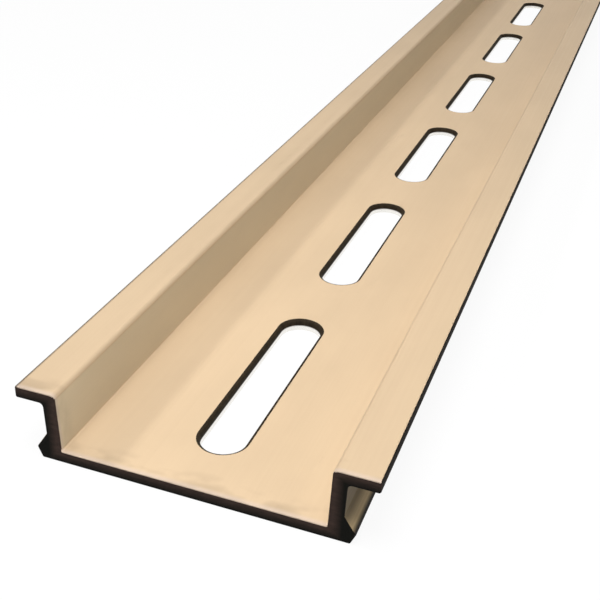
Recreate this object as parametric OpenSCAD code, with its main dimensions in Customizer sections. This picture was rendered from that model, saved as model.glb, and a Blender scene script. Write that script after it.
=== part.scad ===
// Slotted mounting rail of top-hat section, extruded in aluminium and sawn to length.
// X runs across the rail, Y along it and Z up. The origin is on the underside, at its middle,
// and the first slot lies at the -Y end. All sizes are in millimetres.

/* [Rail] */
// Length of the rail
rail_l = 1000; // [200:50:2000]
// Width over the two flanges
rail_w = 35; // [30:0.5:45]
// Height from the underside to the tops of the flanges
rail_h = 7.5; // [6:0.5:15]

/* [Walls] */
// Thickness of the base
base_t = 1.3; // [1:0.1:2]
// Thickness of the webs
web_t = 1.4; // [1:0.1:2]
// Distance that a web leans inwards from the top of the rail to its underside
web_lean = 0.25; // [0:0.05:0.5]
// Thickness of the flanges
flange_t = 1.25; // [1:0.05:2]
// Width of a flange, from the edge of the channel to the edge of the rail
flange_w = 4.2; // [4:0.1:6]

/* [Feet] */
// Reach of a foot's tip beyond the bottom of the web's outer face
tip_reach = 1.25; // [0.9:0.05:1.5]
// Height of a foot's tip above the underside
tip_h = 1.15; // [0.8:0.05:1.4]
// Height at which the foot's slope runs out into the web
slope_h = 2.9; // [2.2:0.1:3.2]
// Reach of the underside beyond the bottom of the web's outer face
foot_reach = 0.75; // [0.4:0.05:0.8]

/* [Slots] */
// Width of a slot
slot_w = 4.6; // [4:0.1:7]
// Length of a slot over its round ends
slot_l = 26; // [12:0.5:30]
// Distance between the centres of neighbouring slots
slot_pitch = 36; // [32:1:50]
// Metal left between the first slot and the end of the rail, and the least at the far end
end_land = 5.5; // [3:0.25:20]

/* [Corner radii] */
// Radius in the corner under a flange
under_r = 0.4; // [0.1:0.05:0.6]
// Radius on the top edges of the channel
channel_edge_r = 0.5; // [0.1:0.05:0.6]
// Radius in the bottom corners of the channel
channel_root_r = 0.2; // [0.1:0.05:0.6]
// Radius on the outer edges of the flanges
flange_edge_r = 0.2; // [0.1:0.05:0.4]
// Radius on the tips and undersides of the feet
foot_edge_r = 0.15; // [0.05:0.05:0.2]
// Radius where the foot's slope meets the web
slope_root_r = 0.3; // [0.1:0.1:0.8]

/* [Hidden] */
$fn = 64;
// Sides that stand for each rounded corner of the section
arc_steps = 6;

// Half widths of the section at the top of the rail, and the level of the flanges' undersides
half_w = rail_w / 2;
web_in = half_w - flange_w;
web_out = web_in + web_t;
flange_z = rail_h - flange_t;

// How far inwards a web has leant at height z
function lean(z) = web_lean * (1 - z / rail_h);

// Slots that fit whole between the ends, and the place of the first one's centre
slot_n = floor((rail_l - 2 * end_land - slot_l) / slot_pitch) + 1;
slot_y0 = -rail_l / 2 + end_land + slot_l / 2;

// Corners of the right half of the section as [x, z, radius], anticlockwise from the underside
right_side = [
    [web_out - web_lean + foot_reach, 0, foot_edge_r],
    [web_out - web_lean + tip_reach, tip_h, foot_edge_r],
    [web_out - lean(slope_h), slope_h, slope_root_r],
    [web_out - lean(flange_z), flange_z, under_r],
    [half_w, flange_z, flange_edge_r],
    [half_w, rail_h, flange_edge_r],
    [web_in, rail_h, channel_edge_r],
    [web_in - lean(base_t), base_t, channel_root_r]
];
last = len(right_side) - 1;
left_side = [for (i = [last : -1 : 0]) [-right_side[i].x, right_side[i].y, right_side[i].z]];
corners = concat(right_side, left_side);

// Point on the plane of the section
function point(c) = [c.x, c.y];

// Unit vector from corner a towards corner b
function heading(a, b) = (point(b) - point(a)) / norm(point(b) - point(a));

// Points of the arc that replaces corner b and touches its sides towards a and c
function arc(a, b, c) = let(
    to_a = heading(b, a),
    to_c = heading(b, c),
    half_angle = acos(to_a * to_c) / 2,
    centre = point(b) + (to_a + to_c) / norm(to_a + to_c) * b.z / sin(half_angle),
    first = point(b) + to_a * b.z / tan(half_angle) - centre,
    start = atan2(first.y, first.x),
    sweep = sign(cross(to_c, to_a)) * (180 - 2 * half_angle)
) [for (i = [0 : arc_steps]) let(t = start + sweep * i / arc_steps) centre + b.z * [cos(t), sin(t)]];

// Section of the extrusion, with each corner rounded by its own radius
module section() {
    n = len(corners);
    polygon([for (i = [0 : n - 1]) each arc(corners[(i + n - 1) % n], corners[i], corners[(i + 1) % n])]);
}

// Outline of one slot, along Y
module slot() {
    straight = slot_l - slot_w;
    square([slot_w, straight], center = true);
    for (end = [-1, 1]) translate([0, end * straight / 2]) circle(d = slot_w);
}

// Row of slots through the base, cut past both of its faces
module slots() {
    translate([0, 0, -base_t]) linear_extrude(3 * base_t)
        for (i = [0 : slot_n - 1]) translate([0, slot_y0 + i * slot_pitch]) slot();
}

module rail() {
    color([0.84, 0.75, 0.63])
    difference() {
        translate([0, rail_l / 2, 0]) rotate([90, 0, 0]) linear_extrude(rail_l) section();
        slots();
    }
}

rail();
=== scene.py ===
import math

import bmesh
import bpy
from bpy.props import (
    FloatProperty,
    FloatVectorProperty,
    IntProperty,
    PointerProperty,
)
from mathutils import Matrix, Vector


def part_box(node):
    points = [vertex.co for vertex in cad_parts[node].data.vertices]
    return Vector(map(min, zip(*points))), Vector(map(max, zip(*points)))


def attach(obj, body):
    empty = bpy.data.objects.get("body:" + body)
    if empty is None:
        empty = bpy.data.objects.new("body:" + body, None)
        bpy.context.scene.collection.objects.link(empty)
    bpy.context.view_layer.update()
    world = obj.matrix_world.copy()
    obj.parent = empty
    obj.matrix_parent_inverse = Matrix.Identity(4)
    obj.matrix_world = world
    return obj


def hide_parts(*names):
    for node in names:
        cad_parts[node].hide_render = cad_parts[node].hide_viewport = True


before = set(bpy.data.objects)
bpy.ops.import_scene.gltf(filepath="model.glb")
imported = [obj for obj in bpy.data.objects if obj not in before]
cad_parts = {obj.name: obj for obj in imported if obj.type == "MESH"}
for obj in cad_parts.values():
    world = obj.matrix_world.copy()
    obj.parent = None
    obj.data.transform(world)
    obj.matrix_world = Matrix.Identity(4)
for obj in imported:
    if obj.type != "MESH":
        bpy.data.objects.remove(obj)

bl_info = {
    "name": "Slotted Mounting Rail",
    "version": (1, 0, 0),
    "blender": (4, 5, 0),
    "location": "View3D > Sidebar > Rail",
    "description": "Top-hat mounting rail with a row of slots, and the studio that shows it",
    "category": "Add Mesh",
}

# The frame: X runs across the rail, Y along it from the near end, Z up from the underside
LOW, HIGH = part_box("rail")
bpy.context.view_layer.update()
NEAR_END = Vector((0, LOW.y, 0))

# Places of the finishes, and of the painted shades, in the rail's material list
SATIN, SAWN, PUNCHED, SHADED_EDGE, SHADE_UNDER_FLANGES, WEB_SHADING = range(6)

# Closest that two corners of the mesh may lie, in metres
WELD = 2e-6

# Parts of a face's unit normal, along an axis, above which the face counts as looking that way
SQUARE_ON = 0.99
SIDEWAYS = 0.6
LEVEL = 0.5
UPWARDS = 0.3

# Sides that stand for the rounded rim of a slot and for the broken edge of a sawn end
RIM_STEPS = 3
BREAK_STEPS = 2

# Angle above which the edge between two faces shows as a sharp line
SHARP = math.radians(40)

# Grains to a metre across, along and up the rail, in the patterns on the metal
DIE_LINES = (4500, 9, 4500)
DULL_LINES = (1500, 20, 1500)
EDGE_LINES = (3000, 60, 3000)
CLOUDS = (160, 60, 160)
SMUDGES = (260, 420, 260)
SAW_MARKS = (700, 700, 3000)
PUNCH_MARKS = (3000, 3000, 400)

# Distances from a sawn end, over which the marks there fade out, and from the left edge, over which a
# painted shade line fades out
RUBBED_BAND = (0.0002, 0.0006)
SMUDGED_BAND = (0.0008, 0.0026)
LEFT_EDGE_SHADE_BAND = (0.00015, 0.00038)

# Heights over which painted shade darkens the metal towards the tops of the flanges
FLANGE_TOP_SHADE_BAND = (HIGH.z - 0.0007, HIGH.z - 0.0002)

# Gap between the rail's underside and the floor, so that the two don't share a plane
FLOOR_GAP = 0.00002

# Tone of the floor's paint, share of white laid over it, and background light on the rail
FLOOR_TONE = 0.7
FLOOR_WHITE = 0.93
ROOM_LIGHT = 0.15


def size(name, description, default):
    """A length in metres that a user can change."""
    return FloatProperty(
        name=name, description=description, default=default, unit="LENGTH", precision=5
    )


def colour(name, description, default):
    """A linear colour that a user can change."""
    return FloatVectorProperty(
        name=name, description=description, default=default, subtype="COLOR", min=0, max=1
    )


def share(name, description, default):
    """A number from 0 to 1 that a user can change."""
    return FloatProperty(name=name, description=description, default=default, min=0, max=1)


class RailSizes(bpy.types.PropertyGroup):
    """Sizes of the extruded section"""

    base_t: size("Base Thickness", "Thickness of the base", 0.0013)
    web_t: size("Web Thickness", "Thickness of the webs", 0.0014)
    web_lean: size("Web Lean", "How far a web leans inwards at its bottom", 0.00025)
    flange_t: size("Flange Thickness", "Thickness of the flanges", 0.00125)
    flange_w: size("Flange Width", "Width from the edge of the channel outwards", 0.0042)
    tip_reach: size("Tip Reach", "Reach of a foot's tip beyond its web", 0.00125)
    tip_h: size("Tip Height", "Height of a foot's tip", 0.00115)
    slope_h: size("Slope Height", "Height at which a foot's slope ends", 0.0029)
    foot_reach: size("Foot Reach", "Reach of the underside beyond its web", 0.00075)
    under_r: size("Corner Under Flange", "Radius under a flange", 0.0004)
    channel_edge_r: size("Channel Edge", "Radius on the top edges of the channel", 0.0005)
    channel_root_r: size("Channel Root", "Radius in the channel's bottom corners", 0.0002)
    flange_edge_r: size("Flange Edge", "Radius on the outer edges of the flanges", 0.0002)
    foot_edge_r: size("Foot Edge", "Radius on the edges of the feet", 0.00015)
    slope_root_r: size("Slope Root", "Radius where a foot's slope meets its web", 0.0003)
    arc_steps: IntProperty(
        name="Arc Steps", description="Sides that stand for each rounded corner", default=6, min=1
    )
    saw_break: size("Sawn Edge Break", "Width of the broken edge round a sawn end", 0.00012)


class SlotSizes(bpy.types.PropertyGroup):
    """Sizes of the slots in the base"""

    width: size("Slot Width", "Width of a slot", 0.0046)
    length: size("Slot Length", "Length of a slot over its round ends", 0.026)
    pitch: size("Slot Pitch", "Distance between the centres of neighbouring slots", 0.036)
    end_land: size("End Land", "Metal between the first slot and the end", 0.0055)
    rim_r: size("Rim", "Radius of the rim that the punch leaves", 0.00038)
    # Height down to which the slot walls take painted shade
    shaded_wall_z: size("Shaded Wall", "Height down to which the punch leaves a dark wall", 0.00055)
    end_steps: IntProperty(
        name="End Steps", description="Sides of a quarter of a slot's round end", default=10, min=2
    )


class RailFinish(bpy.types.PropertyGroup):
    """Colours and gloss of the metal, and the colours of the shade painted on it"""

    satin: colour("Satin", "Satin face of the extrusion", (0.49, 0.368, 0.24))
    # A retinted copy of the satin that paints the shading on the inner faces of the webs
    web: colour("Web", "Inner faces of the webs", (0.53, 0.44, 0.305))
    # Painted shade on the sawn face: dark brown on its inner half and nearly black on its outer half
    sawn: colour("Sawn", "Inner half of the face that the saw left", (0.032, 0.02, 0.016))
    sawn_outer_shade: colour("Sawn Outer Shade", "Outer half of the face that the saw left", (0.003, 0.003, 0.002))
    # Painted shade, nearly black, on the tops of the slot walls and on their rims
    punched: colour("Punched", "Walls and rims of the slots", (0.02, 0.014, 0.008))
    bare: colour("Bare", "Bright metal torn open low in the slots", (0.9, 0.88, 0.84))
    # Painted shade, nearly black, on the flanges' outer edges, the feet's tips, up in the corners
    # under the flanges and along the left edge
    edge: colour("Edge", "Outer edges of the flanges and tips of the feet", (0.012, 0.01, 0.008))
    # Painted shade on the outsides of the webs and feet, under the flanges
    outside: colour("Outside", "Dull outsides of the webs and feet", (0.24, 0.18, 0.1))
    rubbed: colour("Rubbed", "Greyish edge beside a sawn end", (0.45, 0.37, 0.33))
    metallic: share("Metallic", "How metallic the satin face is", 0.08)
    roughness: share("Roughness", "Roughness of the satin face", 0.45)


class StudioSizes(bpy.types.PropertyGroup):
    """Camera and floor"""

    camera_place: FloatVectorProperty(
        name="Camera Place",
        description="Place of the camera from the middle of the near end's underside",
        default=(0.03099, -0.06155, 0.05978),
        subtype="TRANSLATION",
        unit="LENGTH",
    )
    camera_turn: FloatVectorProperty(
        name="Camera Turn",
        description="Turn of the camera",
        default=tuple(math.radians(a) for a in (61.415, -1.806, 20.523)),
        subtype="EULER",
    )
    lens: FloatProperty(
        name="Lens", description="Focal length in millimetres", default=59.115, unit="CAMERA"
    )
    shift: FloatVectorProperty(
        name="Shift",
        description="Shift that the photograph's framing needs",
        default=(0.0129, -0.0302),
        size=2,
    )
    floor_w: size("Floor Width", "Width of the floor", 6.0)


def section_corners(sizes):
    """Corners of the section's right half as (x, z, radius), from the underside to the channel."""
    half_w = HIGH.x
    top = HIGH.z
    web_in = half_w - sizes.flange_w
    web_out = web_in + sizes.web_t
    flange_z = top - sizes.flange_t

    def lean(z):
        return sizes.web_lean * (1 - z / top)

    return [
        (web_out - sizes.web_lean + sizes.foot_reach, 0, sizes.foot_edge_r),
        (web_out - sizes.web_lean + sizes.tip_reach, sizes.tip_h, sizes.foot_edge_r),
        (web_out - lean(sizes.slope_h), sizes.slope_h, sizes.slope_root_r),
        (web_out - lean(flange_z), flange_z, sizes.under_r),
        (half_w, flange_z, sizes.flange_edge_r),
        (half_w, top, sizes.flange_edge_r),
        (web_in, top, sizes.channel_edge_r),
        (web_in - lean(sizes.base_t), sizes.base_t, sizes.channel_root_r),
    ]


def same(a, b):
    """Whether two lengths are closer than the mesh can show."""
    return abs(a - b) < WELD


def at_end(y):
    """Whether a place along the rail is at one of its sawn ends."""
    return same(y, LOW.y) or same(y, HIGH.y)


def runs_along(edge, axis):
    """Whether an edge runs along an axis: 0 across the rail, 1 along it or 2 upwards."""
    start, end = (v.co for v in edge.verts)
    return all(same(start[i], end[i]) for i in range(3) if i != axis)


def is_level(face):
    """Whether a face looks up or down rather than sideways."""
    return abs(face.normal.z) > LEVEL


def borders(bm, finish):
    """Edges between a face that has a finish and one that hasn't."""
    return [
        e
        for e in bm.edges
        if sorted(f.material_index == finish for f in e.link_faces) == [False, True]
    ]


def weld(bm):
    """Merges corners that lie at the same place."""
    bmesh.ops.remove_doubles(bm, verts=bm.verts[:], dist=WELD)


def face_outwards(bm):
    """Turns every face outwards."""
    bmesh.ops.recalc_face_normals(bm, faces=bm.faces[:])


def cut(bm, place, normal):
    """Cuts every face along a plane."""
    geom = bm.verts[:] + bm.edges[:] + bm.faces[:]
    bmesh.ops.bisect_plane(bm, geom=geom, dist=WELD, plane_co=place, plane_no=normal)


def bevel(bm, edges, offset, steps):
    """Rounds edges and gives back the new faces."""
    made = bmesh.ops.bevel(
        bm,
        geom=edges,
        offset=offset,
        offset_type="OFFSET",
        segments=steps,
        profile=0.5,
        affect="EDGES",
        clamp_overlap=False,
        material=-1,
    )
    return made["faces"]


def extrude_section(bm, sizes):
    """Draws the section's right half at the near end, mirrors it and extrudes it along the rail."""
    points = [(0, 0), *[(x, z) for x, z, radius in section_corners(sizes)], (0, sizes.base_t)]
    bm.faces.new([bm.verts.new((x, LOW.y, z)) for x, z in points])
    bmesh.ops.mirror(bm, geom=bm.verts[:] + bm.edges[:] + bm.faces[:], axis="X", merge_dist=WELD)
    face_outwards(bm)
    seam = [e for e in bm.edges if all(same(v.co.x, 0) for v in e.verts)]
    bmesh.ops.dissolve_edges(bm, edges=seam, use_verts=True)
    far = bmesh.ops.extrude_face_region(bm, geom=bm.faces[:], use_keep_orig=True)["geom"]
    far_corners = [v for v in far if isinstance(v, bmesh.types.BMVert)]
    bmesh.ops.translate(bm, verts=far_corners, vec=(0, HIGH.y - LOW.y, 0))
    face_outwards(bm)


def round_long_edges(bm, sizes):
    """Gives each corner of the section its own radius along the whole rail."""
    for x, z, radius in section_corners(sizes):
        edges = [
            e
            for e in bm.edges
            if runs_along(e, 1) and all(same(abs(v.co.x), x) and same(v.co.z, z) for v in e.verts)
        ]
        touch = radius * math.tan(edges[0].calc_face_angle() / 2)
        bevel(bm, edges, touch, sizes.arc_steps)


def slot_spans(slots):
    """Lowest and highest Y of each slot that fits whole between the ends."""
    room = HIGH.y - LOW.y - 2 * slots.end_land - slots.length
    count = math.floor(room / slots.pitch + WELD) + 1
    starts = [LOW.y + slots.end_land + i * slots.pitch for i in range(count)]
    return [(y, y + slots.length) for y in starts]


def in_slot(place, spans, half_w, margin=0):
    """Whether a place lies in the outline of a square slot, or less than a margin outside it."""
    across = abs(place.x) < half_w + margin
    return across and any(low - margin < place.y < high + margin for low, high in spans)


def cut_slots(bm, spans, half_w):
    """Cuts square slots through the base and joins its two faces with their walls."""
    for x in (-half_w, half_w):
        cut(bm, (x, 0, 0), (1, 0, 0))
    for span in spans:
        for y in span:
            cut(bm, (0, y, 0), (0, 1, 0))
    lids = [f for f in bm.faces if is_level(f) and in_slot(f.calc_center_median(), spans, half_w)]
    bmesh.ops.delete(bm, geom=lids, context="FACES_ONLY")
    for span in spans:
        rims = [
            e
            for e in bm.edges
            if e.is_boundary and all(in_slot(v.co, [span], half_w, WELD) for v in e.verts)
        ]
        bmesh.ops.bridge_loops(bm, edges=rims)


def round_slot_ends(bm, half_w, steps):
    """Rounds the upright edges of the square slots until their ends are half circles."""
    posts = [
        e
        for e in bm.edges
        if runs_along(e, 2)
        and same(abs(e.verts[0].co.x), half_w)
        and not at_end(e.verts[0].co.y)
    ]
    bevel(bm, posts, half_w, steps)
    weld(bm)


def round_slot_rims(bm, slots, spans, base_t):
    """Marks the walls of the slots and rounds their rims on the top of the base."""
    for f in bm.faces:
        if not is_level(f) and in_slot(f.calc_center_median(), spans, slots.width / 2, WELD):
            f.material_index = PUNCHED
    rims = [e for e in borders(bm, PUNCHED) if all(same(v.co.z, base_t) for v in e.verts)]
    # The rounded rims take the walls' painted shade
    for f in bevel(bm, rims, slots.rim_r, RIM_STEPS):
        f.material_index = PUNCHED


def open_slots(bm, slots, base_t):
    """Opens the row of slots through the base."""
    spans = slot_spans(slots)
    cut_slots(bm, spans, slots.width / 2)
    round_slot_ends(bm, slots.width / 2, slots.end_steps)
    round_slot_rims(bm, slots, spans, base_t)


def finish_ends(bm, sizes):
    """Marks the faces of both sawn ends, which take painted shade, and breaks the edges round them.
    """
    for f in bm.faces:
        if at_end(f.calc_center_median().y):
            f.material_index = SAWN
    for f in bevel(bm, borders(bm, SAWN), sizes.saw_break, BREAK_STEPS):
        f.normal_update()
        f.material_index = SATIN if f.normal.z > UPWARDS else SAWN


def mark_painted_shade(bm, sizes):
    """Marks painted shade: the retinted insides of the webs, the near black outer edges of the
    flanges and tips of the feet, and the dark tone under the flanges.
    """
    web_out = HIGH.x - sizes.flange_w + sizes.web_t - sizes.web_lean
    under_flange = HIGH.z - sizes.flange_t + sizes.flange_edge_r / 2
    tip_top = sizes.tip_h + sizes.foot_edge_r
    for f in bm.faces:
        place = f.calc_center_median()
        is_underside = f.normal.z < -SQUARE_ON and same(place.z, 0)
        if f.material_index != SATIN or is_underside:
            continue
        # The flanges' outer edges and the feet's tips take near black painted shade
        if abs(f.normal.x) > SIDEWAYS and abs(place.x) > HIGH.x - sizes.flange_edge_r:
            f.material_index = SHADED_EDGE
        # Faces under the flanges take painted shade: dark, and near black at the tips
        elif abs(place.x) > web_out - WELD and place.z < under_flange:
            is_tip = place.z < tip_top and f.normal.z < LEVEL
            f.material_index = SHADED_EDGE if is_tip else SHADE_UNDER_FLANGES
        # The inner faces of the webs take the retinted copy of the satin, a painted shading
        elif abs(f.normal.x) > SQUARE_ON and place.z > sizes.base_t:
            f.material_index = WEB_SHADING


def add_node(tree, kind, **settings):
    """Adds a node and sets its own settings, or its sockets by name."""
    node = tree.nodes.new(kind)
    for key, value in settings.items():
        if key in node.bl_rna.properties:
            setattr(node, key, value)
        else:
            node.inputs[key.replace("_", " ").title()].default_value = value
    return node


def feed(tree, socket, value):
    """Links a socket to another, or gives it a number or a colour."""
    if isinstance(value, bpy.types.NodeSocket):
        tree.links.new(value, socket)
    elif socket.type == "RGBA":
        socket.default_value = (*value, 1)
    else:
        socket.default_value = value


def work_out(tree, operation, *values):
    """Result of a sum on sockets or numbers."""
    node = add_node(tree, "ShaderNodeMath", operation=operation)
    for socket, value in zip(node.inputs, values):
        feed(tree, socket, value)
    return node.outputs["Value"]


def remap(tree, value, low, high, new_low, new_high):
    """Maps a value from one range to another, held at both ends."""
    node = add_node(
        tree, "ShaderNodeMapRange", from_min=low, from_max=high, to_min=new_low, to_max=new_high
    )
    tree.links.new(value, node.inputs["Value"])
    return node.outputs["Result"]


def blend(tree, factor, first, second):
    """Mixes two colours by a factor: the first at 0, the second at 1."""
    node = add_node(tree, "ShaderNodeMix", data_type="RGBA")
    tree.links.new(factor, node.inputs["Factor"])
    colours = [s for s in node.inputs if s.type == "RGBA"]
    for socket, value in zip(colours, (first, second)):
        feed(tree, socket, value)
    return next(s for s in node.outputs if s.type == "RGBA")


def shade(tone, amount):
    """A colour made lighter or darker."""
    return [c * amount for c in tone]


def place_on_piece(tree):
    """X, Y and Z on the piece."""
    coords = tree.nodes.new("ShaderNodeTexCoord")
    split = tree.nodes.new("ShaderNodeSeparateXYZ")
    tree.links.new(coords.outputs["Object"], split.inputs["Vector"])
    return split.outputs


def stretched_noise(tree, grains, detail=3.0):
    """Noise with so many grains to a metre on each axis."""
    coords = tree.nodes.new("ShaderNodeTexCoord")
    mapping = add_node(tree, "ShaderNodeMapping", scale=grains)
    noise = add_node(tree, "ShaderNodeTexNoise", scale=1.0, detail=detail)
    tree.links.new(coords.outputs["Object"], mapping.inputs["Vector"])
    tree.links.new(mapping.outputs["Vector"], noise.inputs["Vector"])
    return noise.outputs["Fac"]


def mottle(tree, marks, tone, darkest, lightest):
    """A colour that varies with the marks between a darker and a lighter one."""
    spread = remap(tree, marks, 0.35, 0.65, 0, 1)
    return blend(tree, spread, shade(tone, darkest), shade(tone, lightest))


def new_metal(name, specular, **sockets):
    """A material with a surface shader, whose specular level and named sockets are set."""
    material = bpy.data.materials.new(name)
    material.use_nodes = True
    tree = material.node_tree
    tree.nodes.clear()
    shader = add_node(tree, "ShaderNodeBsdfPrincipled", **sockets)
    shader.inputs["Specular IOR Level"].default_value = specular
    output = tree.nodes.new("ShaderNodeOutputMaterial")
    tree.links.new(shader.outputs["BSDF"], output.inputs["Surface"])
    return material, tree, shader


def cover(tree, shader, tone, relief, depth):
    """Gives a surface its colour, and raises it by a pattern of so many metres."""
    tree.links.new(tone, shader.inputs["Base Color"])
    bump = add_node(tree, "ShaderNodeBump", distance=depth)
    tree.links.new(relief, bump.inputs["Height"])
    tree.links.new(bump.outputs["Normal"], shader.inputs["Normal"])


def satin_material(name, satin, finish):
    """Satin aluminium with fine die lines, marks beside the sawn ends, painted shade towards the tops
    of the flanges, and a painted shade line along the left edge.
    """
    material, tree, shader = new_metal(name, 0.06, metallic=finish.metallic)
    x, y, z = place_on_piece(tree)
    from_end = work_out(tree, "SUBTRACT", HIGH.y, work_out(tree, "ABSOLUTE", y))
    from_left = work_out(tree, "ADD", x, HIGH.x)

    # Clouds, and die lines along the rail
    tone = mottle(tree, stretched_noise(tree, CLOUDS), satin, 0.97, 1.02)
    lines = stretched_noise(tree, DIE_LINES)
    tone = blend(tree, remap(tree, lines, 0.3, 0.7, 0, 0.05), tone, shade(satin, 0.7))

    # Smudges beside the sawn ends
    smudges = remap(tree, stretched_noise(tree, SMUDGES, 2.0), 0.45, 0.62, 0, 0.45)
    near_end = remap(tree, from_end, *SMUDGED_BAND, 1, 0)
    tone = blend(tree, work_out(tree, "MULTIPLY", near_end, smudges), tone, shade(satin, 0.55))

    # Painted shade towards the tops of the flanges, rubbed ends, and a painted shade line along the
    # left edge
    tone = blend(tree, remap(tree, z, *FLANGE_TOP_SHADE_BAND, 0, 0.1), tone, (0, 0, 0))
    tone = blend(tree, remap(tree, from_end, *RUBBED_BAND, 0.45, 0), tone, finish.rubbed)
    tone = blend(tree, remap(tree, from_left, *LEFT_EDGE_SHADE_BAND, 0.85, 0), tone, finish.edge)
    cover(tree, shader, tone, lines, 0.000004)

    roughness = remap(tree, lines, 0.3, 0.7, finish.roughness - 0.03, finish.roughness + 0.03)
    tree.links.new(roughness, shader.inputs["Roughness"])
    return material


def shaded_edge_material(finish):
    """Painted shade, nearly black, on the outer edges of the flanges and the tips of the feet."""
    material, tree, shader = new_metal("flange_edge", 0.04, roughness=0.8)
    lines = stretched_noise(tree, EDGE_LINES)
    cover(tree, shader, mottle(tree, lines, finish.edge, 0.7, 1.3), lines, 0.000005)
    return material


def shaded_outside_material(finish, sizes):
    """Painted shade on the outside of the webs and feet under the flanges, darker up in the corner
    and nearly black at the tips.
    """
    material, tree, shader = new_metal("outside_painted_shade", 0.1, roughness=0.6)
    x, y, z = place_on_piece(tree)
    lines = stretched_noise(tree, DULL_LINES)
    tone = mottle(tree, lines, finish.outside, 0.88, 1.12)
    web_out = HIGH.x - sizes.flange_w + sizes.web_t
    corner_w = 0.0004
    # Painted shade, darker up in the corner under the flange
    corner_shade = remap(tree, work_out(tree, "ABSOLUTE", x), web_out, web_out + corner_w, 0.6, 0)
    tone = blend(tree, corner_shade, tone, finish.edge)
    # Painted shade, near black, low at the feet's tips
    above_tip = remap(tree, z, sizes.tip_h + 0.0002, sizes.tip_h + 0.0006, 0, 1)
    cover(tree, shader, blend(tree, above_tip, finish.edge, tone), lines, 0.000002)
    return material


def sawn_shade_material(finish, sizes):
    """Sawn end in painted shade: brown beside the channel and the tops, and nearly black towards the
    outside.
    """
    material, tree, shader = new_metal("sawn_face_painted_shade", 0.06, roughness=0.7)
    x, y, z = place_on_piece(tree)
    past_channel = work_out(tree, "SUBTRACT", work_out(tree, "ABSOLUTE", x), HIGH.x - sizes.flange_w)
    in_wall = work_out(tree, "MINIMUM", past_channel, work_out(tree, "SUBTRACT", HIGH.z, z))
    depth = work_out(tree, "MAXIMUM", in_wall, work_out(tree, "SUBTRACT", sizes.base_t, z))
    marks = stretched_noise(tree, SAW_MARKS)
    tone = mottle(tree, marks, finish.sawn, 0.8, 1.2)
    # Painted shade deepens from brown to nearly black away from the channel and the tops
    outwards = remap(tree, depth, 0.2 * sizes.base_t, 0.85 * sizes.base_t, 0, 1)
    cover(tree, shader, blend(tree, outwards, tone, finish.sawn_outer_shade), marks, 0.00001)
    return material


def punched_material(finish, shaded_wall_z):
    """Slot wall: painted shade, nearly black, at its top, and torn bright metal below."""
    material, tree, shader = new_metal("punched_edge", 0.06)
    marks = stretched_noise(tree, PUNCH_MARKS)
    dark = mottle(tree, marks, finish.punched, 0.7, 1.3)
    half_band = 0.00008
    height = place_on_piece(tree)["Z"]
    # Painted shade above this height, bright metal below
    shaded_top = remap(tree, height, shaded_wall_z - half_band, shaded_wall_z + half_band, 0, 1)
    cover(tree, shader, blend(tree, shaded_top, finish.bare, dark), marks, 0.00001)
    tree.links.new(remap(tree, shaded_top, 0, 1, 1, 0), shader.inputs["Metallic"])
    tree.links.new(remap(tree, shaded_top, 0, 1, 0.25, 0.7), shader.inputs["Roughness"])
    return material


def background_rays(tree):
    """1 for rays that show the background: those of the camera, and those through gloss or glass."""
    path = tree.nodes.new("ShaderNodeLightPath")
    kinds = [path.outputs[name] for name in ("Is Camera Ray", "Is Glossy Ray", "Is Transmission Ray")]
    return work_out(tree, "MAXIMUM", work_out(tree, "MAXIMUM", *kinds[:2]), kinds[2])


def floor_material():
    """Pale floor that looks white and keeps a soft shadow."""
    material = bpy.data.materials.new("floor")
    material.use_nodes = True
    tree = material.node_tree
    tree.nodes.clear()
    paint = tree.nodes.new("ShaderNodeBsdfDiffuse")
    paint.inputs["Color"].default_value = (FLOOR_TONE, FLOOR_TONE, FLOOR_TONE, 1)
    white = tree.nodes.new("ShaderNodeEmission")
    both = tree.nodes.new("ShaderNodeMixShader")
    output = tree.nodes.new("ShaderNodeOutputMaterial")
    whiteness = work_out(tree, "MULTIPLY", background_rays(tree), FLOOR_WHITE)
    tree.links.new(whiteness, both.inputs["Fac"])
    tree.links.new(paint.outputs[0], both.inputs[1])
    tree.links.new(white.outputs[0], both.inputs[2])
    tree.links.new(both.outputs[0], output.inputs["Surface"])
    return material


def new_object(scene, name, data):
    """An object in the scene that shows a mesh, a lamp or a camera."""
    thing = bpy.data.objects.new(name, data)
    scene.collection.objects.link(thing)
    return thing


def new_mesh(bm, name):
    """A mesh with what was modelled, which is then let go."""
    mesh = bpy.data.meshes.new(name)
    bm.to_mesh(mesh)
    bm.free()
    return mesh


def add_camera(scene, studio):
    """Camera at the photograph's viewing angle."""
    lens = bpy.data.cameras.new("camera")
    lens.lens = studio.lens
    lens.sensor_width = 36
    lens.shift_x, lens.shift_y = studio.shift
    lens.clip_start = 0.005
    camera = new_object(scene, "camera", lens)
    camera.location = NEAR_END + studio.camera_place
    camera.rotation_euler = studio.camera_turn
    scene.camera = camera


def add_lamp(scene, name, place, width, power, aim=(0, 0, 0), spread=180):
    """Round lamp with its place and aim in metres from the near end, and its spread in degrees."""
    light = bpy.data.lights.new(name, "AREA")
    light.shape = "DISK"
    light.size = width
    light.energy = power
    light.spread = math.radians(spread)
    lamp = new_object(scene, name, light)
    lamp.location = NEAR_END + Vector(place)
    lamp.rotation_euler = (Vector(aim) - Vector(place)).to_track_quat("-Z", "Y").to_euler()


def add_floor(scene, width):
    """Level floor just below the rail."""
    bm = bmesh.new()
    bmesh.ops.create_grid(bm, x_segments=1, y_segments=1, size=width / 2)
    bmesh.ops.translate(bm, verts=bm.verts[:], vec=(0, 0, -FLOOR_GAP))
    floor = new_object(scene, "floor", new_mesh(bm, "floor"))
    floor.data.materials.append(floor_material())


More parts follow.
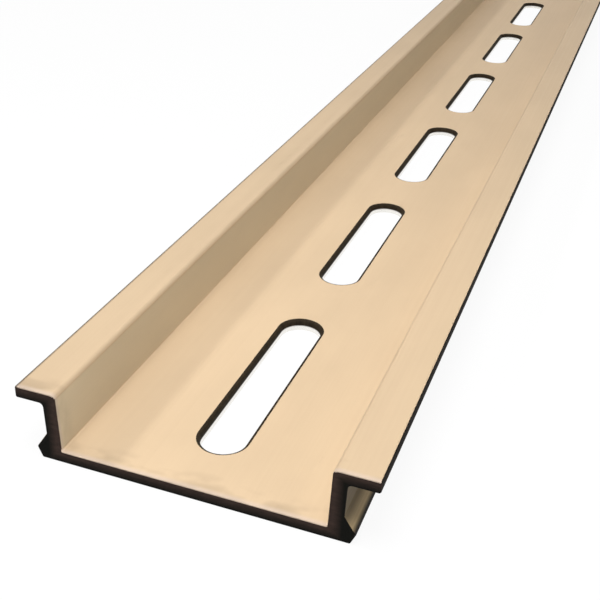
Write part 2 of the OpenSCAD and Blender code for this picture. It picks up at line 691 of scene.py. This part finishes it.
def set_world(scene):
    """White background, with less light from it on the object."""
    world = bpy.data.worlds.new("studio")
    world.use_nodes = True
    tree = world.node_tree
    sky = tree.nodes["Background"]
    sky.inputs["Color"].default_value = (1, 1, 1, 1)
    strength = remap(tree, background_rays(tree), 0, 1, ROOM_LIGHT, 1.0)
    tree.links.new(strength, sky.inputs["Strength"])
    scene.world = world


class SCENE_OT_rail_studio(bpy.types.Operator):
    """Set up the camera, the lamps, the floor and the background"""

    bl_idname = "scene.rail_studio"
    bl_label = "Rail Studio"

    def execute(self, context):
        scene = context.scene
        add_camera(scene, scene.rail_studio)
        add_lamp(scene, "broad", (0, 0.5, 1.2), 1.0, 2.4)
        add_lamp(scene, "far", (0, 0.66, 0.5), 0.6, 1.0, aim=(0, 0.66, 0), spread=110)
        add_lamp(scene, "overhead", (0, -0.03, 0.2), 0.12, 0.49)
        add_lamp(scene, "front", (0.1, -0.5, 0.35), 0.3, 0.67)
        add_lamp(scene, "right", (0.5, -0.1, 0.25), 0.3, 0.8)
        add_lamp(scene, "left", (-0.35, 0, 0.34), 0.055, 0.95)
        add_floor(scene, scene.rail_studio.floor_w)
        set_world(scene)
        scene.view_settings.view_transform = "Standard"
        return {"FINISHED"}


class MESH_OT_slotted_rail(bpy.types.Operator):
    """Make the slotted rail in place of its plain solid"""

    bl_idname = "mesh.slotted_rail"
    bl_label = "Slotted Rail"

    def execute(self, context):
        scene = context.scene
        sizes = scene.rail_sizes
        slots = scene.slot_sizes
        finish = scene.rail_finish
        bm = bmesh.new()
        extrude_section(bm, sizes)
        round_long_edges(bm, sizes)
        open_slots(bm, slots, sizes.base_t)
        weld(bm)
        face_outwards(bm)
        finish_ends(bm, sizes)
        mark_painted_shade(bm, sizes)
        weld(bm)
        face_outwards(bm)

        mesh = new_mesh(bm, "slotted_rail")
        mesh.shade_smooth()
        mesh.set_sharp_from_angle(angle=SHARP)
        for material in (
            satin_material("satin_aluminium", finish.satin, finish),
            sawn_shade_material(finish, sizes),
            punched_material(finish, slots.shaded_wall_z),
            shaded_edge_material(finish),
            shaded_outside_material(finish, sizes),
            # Copy of the satin with the webs' painted shading
            satin_material("web_aluminium_painted_shading", finish.web, finish),
        ):
            mesh.materials.append(material)

        rail = new_object(scene, "slotted_rail", mesh)
        weighted = rail.modifiers.new("face_weights", "WEIGHTED_NORMAL")
        weighted.keep_sharp = True
        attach(rail, "root")
        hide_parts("rail")
        return {"FINISHED"}


class VIEW3D_PT_mounting_rail(bpy.types.Panel):
    """Sizes, finishes and buttons of the mounting rail"""

    bl_label = "Mounting Rail"
    bl_space_type = "VIEW_3D"
    bl_region_type = "UI"
    bl_category = "Rail"

    def draw(self, context):
        layout = self.layout
        for name in GROUPS:
            box = layout.box()
            group = getattr(context.scene, name)
            for field in group.bl_rna.properties.keys():
                if field not in ("rna_type", "name"):
                    box.prop(group, field)
        for operator in OPERATORS:
            layout.operator(operator.bl_idname)


GROUPS = {
    "rail_sizes": RailSizes,
    "slot_sizes": SlotSizes,
    "rail_finish": RailFinish,
    "rail_studio": StudioSizes,
}
OPERATORS = (SCENE_OT_rail_studio, MESH_OT_slotted_rail)
CLASSES = (*GROUPS.values(), *OPERATORS, VIEW3D_PT_mounting_rail)


def register():
    for cls in CLASSES:
        bpy.utils.register_class(cls)
    for name, group in GROUPS.items():
        setattr(bpy.types.Scene, name, PointerProperty(type=group))


def unregister():
    for name in GROUPS:
        delattr(bpy.types.Scene, name)
    for cls in reversed(CLASSES):
        bpy.utils.unregister_class(cls)


def main():
    register()
    bpy.ops.scene.rail_studio()
    bpy.ops.mesh.slotted_rail()


if __name__ == "__main__":
    main()
